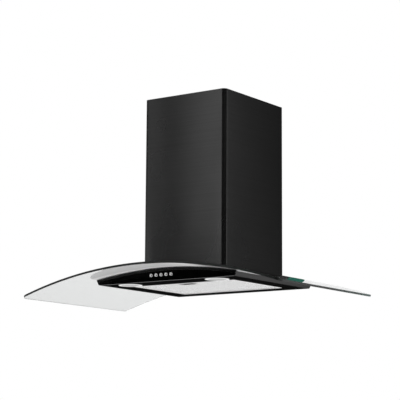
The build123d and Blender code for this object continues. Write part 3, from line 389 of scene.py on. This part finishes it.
def domed_chrome(name):
    """Chrome whose light falls as on domed caps, for the row of buttons."""
    made = polished(name, darkest=0.8, lightest=0.88, roughness=0.09, spread=0.03)
    tree = made.node_tree
    first = middle_of("button_1")
    last = middle_of(f"button_{BUTTON_COUNT}")
    pitch = abs(last.x - first.x) / (BUTTON_COUNT - 1)
    row_start = min(first.x, last.x) - pitch / 2
    along = compute(tree, "SUBTRACT", place_on(tree, "X"), row_start)
    across = compute(tree, "SUBTRACT", compute(tree, "MODULO", along, pitch), pitch / 2)
    above = compute(tree, "SUBTRACT", place_on(tree, "Z"), first.z)
    across_squared = compute(tree, "MULTIPLY", across, across)
    above_squared = compute(tree, "MULTIPLY", above, above)
    squares = compute(tree, "ADD", across_squared, above_squared)
    dome = compute(tree, "MULTIPLY", squares, -0.5 / BUTTON_DOME)
    feed(tree, tree.nodes["Principled BSDF"], Normal=bump(tree, dome, distance=1.0))
    return made


# ---------------------------------------------------------------- plastics, rubber and lacquer
RUBBER_TEXTURE = 0.00005
RUBBER_ROUGHNESS = 0.55


def moulded(name, colour, roughness, texture=0.00003, contrast=0.12, specular=0.5):
    """Moulded plastic or cast metal, with a fine texture of its mould."""
    made, tree, shader = new_material(name)
    effect = use_group(tree, MOULD, Place=place(tree))
    feed(
        tree,
        shader,
        Base_Color=mottled(tree, effect["Cloud"], colour, contrast),
        Roughness=uneven(tree, effect["Cloud"], roughness, spread=0.06),
        Normal=bump(tree, effect["Height"], texture, strength=0.5),
        Specular_IOR_Level=specular,
    )
    return made


def rubber(name, colour, roughness=RUBBER_ROUGHNESS):
    """Silicone or foam: coarser than plastic, and more even in colour."""
    return moulded(name, colour, roughness, RUBBER_TEXTURE, contrast=0.08, specular=0.4)


def glass_seal(name):
    """Silicone between glass and canopy: pale along the sides, with its front faces painted black
    as painted shade.
    """
    made, tree, shader = new_material(name)
    effect = use_group(tree, MOULD, Place=place(tree))
    pale = blend_colours(tree, effect["Cloud"], grey(0.62), grey(0.72))
    # Front faces are painted black, as painted shade.
    in_front = turned(tree, "Y", *TO_LOW_SIDE)
    feed(
        tree,
        shader,
        Base_Color=blend_colours(tree, in_front, pale, grey(0.012)),
        Normal=bump(tree, effect["Height"], RUBBER_TEXTURE, strength=0.5),
        Roughness=RUBBER_ROUGHNESS,
    )
    return made


def gloss_black(name):
    """Deep black control strip, with the slight orange peel of gloss lacquer."""
    made, tree, shader = new_material(name)
    peel = noise(tree, place(tree), Scale=160.0)
    smear = noise(tree, place(tree), Scale=22.0)
    feed(
        tree,
        shader,
        Base_Color=blend_colours(tree, smear, grey(0.0004), grey(0.0012)),
        Roughness=uneven(tree, smear, middle=0.13, spread=0.05),
        Normal=bump(tree, peel, distance=0.00001, strength=0.3),
        Specular_IOR_Level=0.03,
    )
    return made


def circuit_board(name):
    """Green lacquer over a lattice of copper tracks."""
    made, tree, shader = new_material(name)
    tracks = add(
        tree,
        "ShaderNodeTexBrick",
        Vector=place(tree),
        Scale=90.0,
        Mortar_Size=0.04,
        Color1=(0.01, 0.09, 0.03, 1.0),
        Color2=(0.012, 0.11, 0.036, 1.0),
        Mortar=(0.03, 0.2, 0.07, 1.0),
    )
    feed(
        tree,
        shader,
        Base_Color=tracks.outputs["Color"],
        Normal=bump(tree, tracks.outputs["Fac"], distance=0.00003, strength=0.6),
        Roughness=0.35,
    )
    return made


# ---------------------------------------------------------------- glass and the pale band of painted reflection under it
GLASS_TINT = (0.765, 0.745, 0.75, 1.0)
GLASS_INSIDE = (0.0, 0.38, 0.28, 1.0)  # what light turns to on its way through the sheet
GLASS_DENSITY = 11.0
GLASS_IOR = 1.5
GROUND_ROUGHNESS = 0.35
# Colours of the ground edge: dark is painted shade; teal is the glass's green edge, painted only
# where light shows it.
EDGE_PAINTED_SHADE = (0.01, 0.016, 0.014, 1.0)
EDGE_TEAL = (0.36, 0.56, 0.53, 1.0)
EDGE_CLEAR = (0.85, 0.88, 0.87, 1.0)
EDGE_TURNS_TEAL = (-0.24, -0.18)  # y
# Along x the painted reflection of the band turns pale, then painted shade darkens its right end;
# along y a painted highlight whitens its back rim.
BAND_TURNS_PALE = (0.02, 0.12)  # x
BAND_TURNS_DARK = (0.13, 0.18)  # x
BAND_TURNS_WHITE = (-0.43, -0.415)  # y


def glass_edge_colour(tree):
    """Dark as painted shade at the front and the right end, teal where that end nears the wall,
    which is the glass's green edge painted only where light shows it, else clear.
    """
    near_wall = between(tree, "Y", *EDGE_TURNS_TEAL)
    at_right = turned(tree, "X", start=0.3, end=0.5)
    at_front = turned(tree, "Y", start=-0.3, end=-0.5)
    shown = compute(tree, "MAXIMUM", at_right, at_front)
    coloured = blend_colours(tree, near_wall, EDGE_PAINTED_SHADE, EDGE_TEAL)
    return blend_colours(tree, shown, EDGE_CLEAR, coloured)


def glass(name):
    """Toughened glass, green where the light runs far in it, with ground edges."""
    made, tree, shader = new_material(name)
    level = compute(tree, "ABSOLUTE", turned(tree, "Z", 0.0, 1.0, clamp=False), 0.0)
    edge = remap(tree, level, 1.0, 0.0, from_low=0.6, from_high=0.8)
    smear = noise(tree, place(tree, (1, 3, 3)), Scale=6.0, Detail=4.0)
    faces = remap(tree, smear, 0.0, 0.015, from_low=0.35, from_high=0.65)
    ground = remap(tree, edge, 0.0, GROUND_ROUGHNESS)
    inside = add(tree, "ShaderNodeVolumeAbsorption", Color=GLASS_INSIDE, Density=GLASS_DENSITY)
    # Ground edges take glass_edge_colour, with its painted shade.
    feed(
        tree,
        shader,
        Base_Color=blend_colours(tree, edge, GLASS_TINT, glass_edge_colour(tree)),
        Roughness=compute(tree, "MAXIMUM", faces, ground),
        Transmission_Weight=1.0,
        IOR=GLASS_IOR,
    )
    feed(tree, tree.nodes["Material Output"], Volume=inside.outputs[0])
    return made


def painted_reflection_band(name):
    """Pale band under the front of the glass as painted reflection, paler to the right; its back
    rim is a painted highlight in white and its right end painted shade in dark grey, over a fine
    uneven bump.
    """
    made, tree, shader = new_material(name)
    band_grain = noise(tree, place(tree), Scale=900.0, Detail=2.0)
    # Painted reflection grows paler to the right, a painted highlight whitens the back rim,
    # painted shade darkens the right end.
    paler = between(tree, "X", *BAND_TURNS_PALE)
    painted_highlight_rim = between(tree, "Y", *BAND_TURNS_WHITE)
    painted_shade_end = between(tree, "X", *BAND_TURNS_DARK)
    sheet = blend_colours(tree, paler, grey(0.70), grey(0.92))
    sheet = blend_colours(tree, painted_highlight_rim, sheet, grey(1.0))
    sheet = blend_colours(tree, painted_shade_end, sheet, grey(0.3))
    feed(
        tree,
        shader,
        Base_Color=sheet,
        Normal=bump(tree, band_grain, distance=0.00002, strength=0.3),
        Roughness=0.6,
        Specular_IOR_Level=0.1,
    )
    return made


# ---------------------------------------------------------------- the finish of each node
OWN_FINISH = {
    # The canopy takes a copy of black steel with painted light and shade.
    "canopy_shell": "canopy_steel_painted_light_and_shade",
    # The tray takes a darker copy of black steel, as painted shade.
    "underside_panel": "tray_steel_painted_shade",
    "glass_gasket": "glass_seal",
}
for number in range(1, BUTTON_COUNT + 1):
    OWN_FINISH[f"button_{number}"] = "button_chrome"


def make_metals():
    """Sheet, plated, cast and polished metals, by name."""
    black = {"contrast": 0.06, "grazing": 0.06}
    return {
        "black_steel": brushed("black_steel", grey(0.08), 0.3, WALL_GRAIN, **black),
        # The canopy: a lighter copy of black steel as painted light on its sides, with painted
        # shade on its front and lower faces.
        "canopy_steel_painted_light_and_shade": brushed("canopy_steel_painted_light_and_shade", grey(0.095), 0.3, WALL_GRAIN, painted_shade=0.27, **black),
        # The tray: a darker copy of black steel, as painted shade on the hood's underside.
        "tray_steel_painted_shade": brushed(
            "tray_steel_painted_shade", grey(0.018), 0.6, TRAY_GRAIN, contrast=0.1, anisotropy=0.3, grazing=0.0
        ),
        "spring_steel": brushed("spring_steel", grey(0.4), 0.3, WALL_GRAIN),
        "shaft_steel": brushed("shaft_steel", grey(0.5), 0.25, SHAFT_GRAIN, contrast=0.1),
        "zinc_fastener": brushed(
            "zinc_fastener", grey(0.5, 0.05), 0.35, PLATED_GRAIN, contrast=0.15
        ),
        "filter_aluminium": brushed(
            "filter_aluminium", grey(0.93), 0.4, FRAME_GRAIN, contrast=0.04
        ),
        "latch_aluminium": brushed("latch_aluminium", grey(0.7), 0.3, LATCH_GRAIN, contrast=0.1),
        "cast_aluminium": moulded(
            "cast_aluminium", grey(0.42), 0.45, texture=0.0001, contrast=0.15
        ),
        "galvanised_steel": galvanised("galvanised_steel"),
        "pleated_net": pleated("pleated_net"),
        "chrome": polished("chrome", darkest=0.66, lightest=0.74, roughness=0.09, spread=0.04),
        "button_chrome": domed_chrome("button_chrome"),
    }


def make_other_finishes():
    """Glass, lacquer, plastics and rubber, by name."""
    return {
        "tinted_glass": glass("tinted_glass"),
        "gloss_black": gloss_black("gloss_black"),
        "glass_seal": glass_seal("glass_seal"),
        "clear_silicone": rubber("clear_silicone", grey(0.7)),
        "grey_foam": rubber("grey_foam", grey(0.05), 0.8),
        "frosted_lens": moulded("frosted_lens", grey(0.6), 0.4, texture=0.00004, contrast=0.04),
        "latch_black": moulded("latch_black", grey(0.02), 0.4),
        "white_nylon": moulded("white_nylon", grey(0.7, 0.03), 0.45),
        "black_plastic": moulded("black_plastic", grey(0.018), 0.45),
        "grey_plastic": moulded("grey_plastic", grey(0.16), 0.45),
        "motor_casing": moulded("motor_casing", grey(0.03), 0.4, texture=0.00006),
        "capacitor_white": moulded("capacitor_white", grey(0.62), 0.35),
        "circuit_board": circuit_board("circuit_board"),
    }


# ---------------------------------------------------------------- smooth shading of the CAD nodes
SHARP_ANGLE = radians(28)
WELD_DISTANCE = 0.000002


def smooth_shaded(piece):
    """Joins the loose triangles for shading and keeps the real edges sharp."""
    for polygon in piece.data.polygons:
        polygon.use_smooth = True
    weld = piece.modifiers.new("weld", "WELD")
    weld.merge_threshold = WELD_DISTANCE
    split = piece.modifiers.new("edges", "EDGE_SPLIT")
    split.split_angle = SHARP_ANGLE


def dress_cad_nodes(finishes):
    """Gives every CAD node its own finish, or else the one of its slot."""
    for row in frame["record"]["subparts"]:
        piece = nodes[row["node"]]
        piece.data.materials.clear()
        piece.data.materials.append(finishes[OWN_FINISH.get(row["node"], row["material_slot"])])
        smooth_shaded(piece)


# ---------------------------------------------------------------- helpers for pieces
ALONG_X = Vector((1, 0, 0))
ALONG_Y = Vector((0, 1, 0))


def new_object(name, shape, material):
    """An object from a finished bmesh."""
    mesh = bpy.data.meshes.new(name)
    shape.to_mesh(mesh)
    shape.free()
    mesh.materials.append(material)
    made = bpy.data.objects.new(name, mesh)
    bpy.context.scene.collection.objects.link(made)
    return made


def finished_piece(name, shape, material, body):
    """A piece of the hood from a finished bmesh, riding on a body."""
    piece = new_object(name, shape, material)
    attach(piece, body)
    return piece


def staged(name, shape, material):
    """A piece of the studio from a finished bmesh; it isn't part of the hood."""
    piece = new_object(name, shape, material)
    return piece


def cut(shape, point, normal, drop=False):
    """Cuts a shape by a plane, and where told drops the side that the normal points to."""
    parts = shape.verts[:] + shape.edges[:] + shape.faces[:]
    bmesh.ops.bisect_plane(shape, geom=parts, plane_co=point, plane_no=normal, clear_outer=drop)


# ---------------------------------------------------------------- the filter's net
NET_CELL = (0.007, 0.005)  # a diamond's width and depth
NET_STRAND = 0.34  # share of a cell
NET_THICKNESS = 0.00035
NET_BORDER = 0.0015  # round the latch
SPARE_CELLS = 3  # past the net's borders, cut off again


def make_filter_mesh(finish):
    """Expanded aluminium with small diamonds, in the place of the filter's lower net."""
    low, high = corners(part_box("filter_net_lower"))
    latch_low, latch_high = corners(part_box("latch_housing"))
    size = high - low
    count = int(size.x / NET_CELL[0] + size.y / NET_CELL[1]) + SPARE_CELLS
    shape = bmesh.new()
    bmesh.ops.create_grid(shape, x_segments=count, y_segments=count, size=count / 2)
    inset = bmesh.ops.inset_individual(shape, faces=shape.faces, thickness=NET_STRAND)
    strands = set(inset["faces"])
    holes = [face for face in shape.faces if face not in strands]
    bmesh.ops.delete(shape, geom=holes, context="FACES")
    bmesh.ops.rotate(shape, verts=shape.verts, matrix=Matrix.Rotation(radians(45), 3, "Z"))
    diagonal = 2**0.5
    cell = (NET_CELL[0] / diagonal, NET_CELL[1] / diagonal, 1)
    bmesh.ops.scale(shape, verts=shape.verts, vec=cell)
    middle = (low + high) / 2
    bmesh.ops.translate(shape, verts=shape.verts, vec=(middle.x, middle.y, low.z))
    for axis in (ALONG_X, ALONG_Y):
        cut(shape, low, -axis, drop=True)
        cut(shape, high, axis, drop=True)
    left = latch_low.x - NET_BORDER
    right = latch_high.x + NET_BORDER
    back = latch_high.y + NET_BORDER
    cut(shape, (left, 0, 0), ALONG_X)
    cut(shape, (right, 0, 0), ALONG_X)
    cut(shape, (0, back, 0), ALONG_Y)
    over_latch = [
        face
        for face in shape.faces
        if left < face.calc_center_median().x < right and face.calc_center_median().y < back
    ]
    bmesh.ops.delete(shape, geom=over_latch, context="FACES")
    bmesh.ops.solidify(shape, geom=shape.faces, thickness=-NET_THICKNESS)
    bmesh.ops.recalc_face_normals(shape, faces=shape.faces)
    piece = finished_piece("filter_mesh", shape, finish, "filter")
    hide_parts("filter_net_lower")


# ---------------------------------------------------------------- pieces under the glass
GLASS_RADIUS = 1.4  # of its upper face
GLASS_THICKNESS = 0.006
BAND_STRIPS = 64
BAND_BACK = 0.009  # from the canopy's front
BAND_CORNER = 0.16  # along the front edge
BAND_CORNER_STEPS = 12
BAND_BEVEL = 0.97  # of its depth
BAND_THICKNESS = 0.0001
BAND_GAP = 0.0002
BEAD_WIDTH = 0.002
BEAD_HEIGHT = 0.003
BEAD_GAP = 0.0003
BEAD_END = 0.004  # from the canopy's front and back


def glass_under(crown, x):
    """Height of the glass's underside beside its centre line."""
    low = GLASS_RADIUS - GLASS_THICKNESS
    return crown - GLASS_RADIUS + (low * low - x * x) ** 0.5


def make_front_band(finish):
    """Pale band of painted reflection on the glass's underside, from its front edge back to the
    canopy.
    """
    glass_low, glass_high = corners(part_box("glass_canopy"))
    canopy_low, canopy_high = corners(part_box("canopy_shell"))
    half = canopy_high.x
    front = glass_low.y + GLASS_THICKNESS / 2
    back = canopy_low.y - BAND_BACK
    depth = back - front
    narrow = half * depth / BAND_CORNER
    outline = [(-narrow, front, 0), (narrow, front, 0), (narrow, back, 0), (-narrow, back, 0)]
    shape = bmesh.new()
    shape.faces.new([shape.verts.new(corner) for corner in outline])
    shape.verts.ensure_lookup_table()
    bmesh.ops.bevel(
        shape,
        geom=shape.verts[:2],
        offset=BAND_BEVEL * depth,
        segments=BAND_CORNER_STEPS,
        profile=0.5,
        affect="VERTICES",
        material=-1,
    )
    bmesh.ops.scale(shape, verts=shape.verts, vec=(BAND_CORNER / depth, 1, 1))
    for step in range(1, BAND_STRIPS):
        cut(shape, (-half + 2 * half * step / BAND_STRIPS, 0, 0), ALONG_X)
    for vert in shape.verts:
        vert.co.z = glass_under(glass_high.z, vert.co.x) - BAND_GAP
    bmesh.ops.solidify(shape, geom=shape.faces, thickness=BAND_THICKNESS)
    bmesh.ops.recalc_face_normals(shape, faces=shape.faces)
    finished_piece("front_band", shape, finish, "hood")


def make_side_beads(finish):
    """A bead of silicone along each side of the canopy, under the glass."""
    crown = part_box("glass_canopy")[1][2]
    canopy_low, canopy_high = corners(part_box("canopy_shell"))
    inner = canopy_high.x + BEAD_GAP
    outer = inner + BEAD_WIDTH
    top = glass_under(crown, outer) - BEAD_GAP
    height = top - BEAD_HEIGHT / 2
    front = canopy_low.y + BEAD_END
    back = canopy_high.y - BEAD_END
    shape = bmesh.new()
    for side in (-1, 1):
        bead = bmesh.ops.create_cube(shape, size=1.0)["verts"]
        middle = (side * (inner + outer) / 2, (front + back) / 2, height)
        bmesh.ops.scale(shape, verts=bead, vec=(BEAD_WIDTH, back - front, BEAD_HEIGHT))
        bmesh.ops.translate(shape, verts=bead, vec=middle)
    lower_edges = [
        edge
        for edge in shape.edges
        if abs(edge.verts[0].co.y - edge.verts[1].co.y) > BEAD_WIDTH
        and edge.verts[0].co.z < height
    ]
    bmesh.ops.bevel(
        shape,
        geom=lower_edges,
        offset=BEAD_WIDTH / 3,
        segments=3,
        profile=0.5,
        affect="EDGES",
        material=-1,
    )
    finished_piece("side_beads", shape, finish, "hood")


# ---------------------------------------------------------------- studio
WORLD_FILL = 0.55
FLOOR_Z = -1.75
FLOOR_HALF = 30.0
FLOOR_GLOW = 0.5  # as the camera sees it
PANEL_LOW = -0.9
PANEL_HIGH = 2.2
STRIP = {"low": -0.2, "high": 1.0, "slant": 0.4, "in_glass": True}
SEA_GREEN = (0.025, 0.13, 0.095, 1.0)
LAMP_SIZE = 1.6
LAMP_AIM = Vector((0, -0.2, 0))


def seen_in_gloss_or_glass(tree, path):
    """One for glossy and transmission rays, else zero."""
    in_gloss = path.outputs["Is Glossy Ray"]
    in_glass = path.outputs["Is Transmission Ray"]
    return compute(tree, "MAXIMUM", in_gloss, in_glass)


def mix_shaders(tree, factor, first, second):
    """The first shader where the factor is zero, the second where it is one."""
    mix = add(tree, "ShaderNodeMixShader", Fac=factor)
    connect(tree, first.outputs[0], mix.inputs[1])
    connect(tree, second.outputs[0], mix.inputs[2])
    return mix


def add_shaders(tree, first, second):
    """The light of two shaders together."""
    both = add(tree, "ShaderNodeAddShader")
    connect(tree, first.outputs[0], both.inputs[0])
    connect(tree, second.outputs[0], both.inputs[1])
    return both


def make_world():
    """White where the camera, gloss or glass sees it, a soft fill elsewhere."""
    world = bpy.data.worlds.new("studio")
    world.use_nodes = True
    bpy.context.scene.world = world
    tree = world.node_tree
    tree.nodes.clear()
    path = add(tree, "ShaderNodeLightPath")
    mirrored = seen_in_gloss_or_glass(tree, path)
    seen = compute(tree, "MAXIMUM", mirrored, path.outputs["Is Camera Ray"])
    strength = remap(tree, seen, WORLD_FILL, 1.0)
    background = add(tree, "ShaderNodeBackground", Color=(1, 1, 1, 1), Strength=strength)
    add(tree, "ShaderNodeOutputWorld", Surface=background.outputs[0])


def make_floor():
    """A pale floor far below the hood: white in gloss and glass, and clear from underneath."""
    made, tree, shader = new_material("floor")
    feed(tree, shader, Base_Color=grey(0.9), Roughness=0.9)
    path = add(tree, "ShaderNodeLightPath")
    glow = remap(tree, path.outputs["Is Camera Ray"], 0.0, FLOOR_GLOW)
    paper = add_shaders(tree, shader, add(tree, "ShaderNodeEmission", Strength=glow))
    white = add(tree, "ShaderNodeEmission", Strength=1.0)
    lit = mix_shaders(tree, seen_in_gloss_or_glass(tree, path), paper, white)
    underneath = add(tree, "ShaderNodeNewGeometry").outputs["Backfacing"]
    clear = add(tree, "ShaderNodeBsdfTransparent")
    shown = mix_shaders(tree, underneath, lit, clear)
    feed(tree, tree.nodes["Material Output"], Surface=shown.outputs[0])
    shape = bmesh.new()
    bmesh.ops.create_grid(shape, x_segments=1, y_segments=1, size=FLOOR_HALF)
    bmesh.ops.translate(shape, verts=shape.verts, vec=(0, 0, FLOOR_Z))
    staged("floor", shape, made)


def make_panel(
    name, start, end, colour, low=PANEL_LOW, high=PANEL_HIGH, in_glass=False, slant=0.0
):
    """A studio panel between two places in plan, seen only in reflections; its top may slant."""
    made, tree, _ = new_material(name)
    glow = add(tree, "ShaderNodeEmission", Color=colour)
    feed(tree, tree.nodes["Material Output"], Surface=glow.outputs[0])
    top = [(x + slant, y, high) for x, y in (end, start)]
    outline = [(*start, low), (*end, low), *top]
    shape = bmesh.new()
    shape.faces.new([shape.verts.new(corner) for corner in outline])
    panel = staged(name, shape, made)
    panel.visible_camera = False
    panel.visible_diffuse = False
    panel.visible_shadow = False
    panel.visible_transmission = in_glass


def make_panels():
    """Dark and grey panels that draw the reflections in the steel and the glass."""
    make_panel("far_left_panel", (-3.2, -1.5), (-1.3, -1.5), grey(0.0), low=-0.05)
    make_panel("left_panel", (-1.1, -1.5), (-0.80, -1.5), grey(0.04))
    make_panel("low_panel", (-0.80, -1.5), (-0.30, -1.5), grey(0.02), high=-0.09)
    make_panel("front_panel", (-0.30, -1.55), (2.3, -1.55), grey(0.05))
    make_panel("right_panel", (2.3, -1.55), (2.3, 0.95), grey(0.05))
    make_panel("side_panel", (1.35, 0.95), (0.35, 1.75), grey(0.28), low=-0.45)
    make_panel("dark_strip", (-1.52, 2.4), (-1.42, 2.4), grey(0.03), **STRIP)
    make_panel("green_strip", (-1.42, 2.4), (-1.325, 2.4), SEA_GREEN, **STRIP)


def make_lamp(name, spot, power):
    """A square lamp aimed at the hood, left out of reflections."""
    data = bpy.data.lights.new(name, "AREA")
    data.size = LAMP_SIZE
    data.energy = power
    lamp = bpy.data.objects.new(name, data)
    lamp.location = spot
    lamp.rotation_euler = (LAMP_AIM - Vector(spot)).to_track_quat("-Z", "Y").to_euler()
    lamp.visible_glossy = False
    bpy.context.scene.collection.objects.link(lamp)


# ---------------------------------------------------------------- the scene
bpy.context.scene.view_settings.view_transform = "Standard"
make_camera()
make_world()
make_floor()
make_panels()
make_lamp("key", (-3.0, -2.6, 2.8), power=90)
make_lamp("fill", (3.2, -1.6, 1.6), power=40)
finishes = {**make_metals(), **make_other_finishes()}
dress_cad_nodes(finishes)
make_filter_mesh(finishes["pleated_net"])
# The front band is a painted reflection under the glass.
make_front_band(painted_reflection_band("front_painted_reflection"))
make_side_beads(finishes["clear_silicone"])
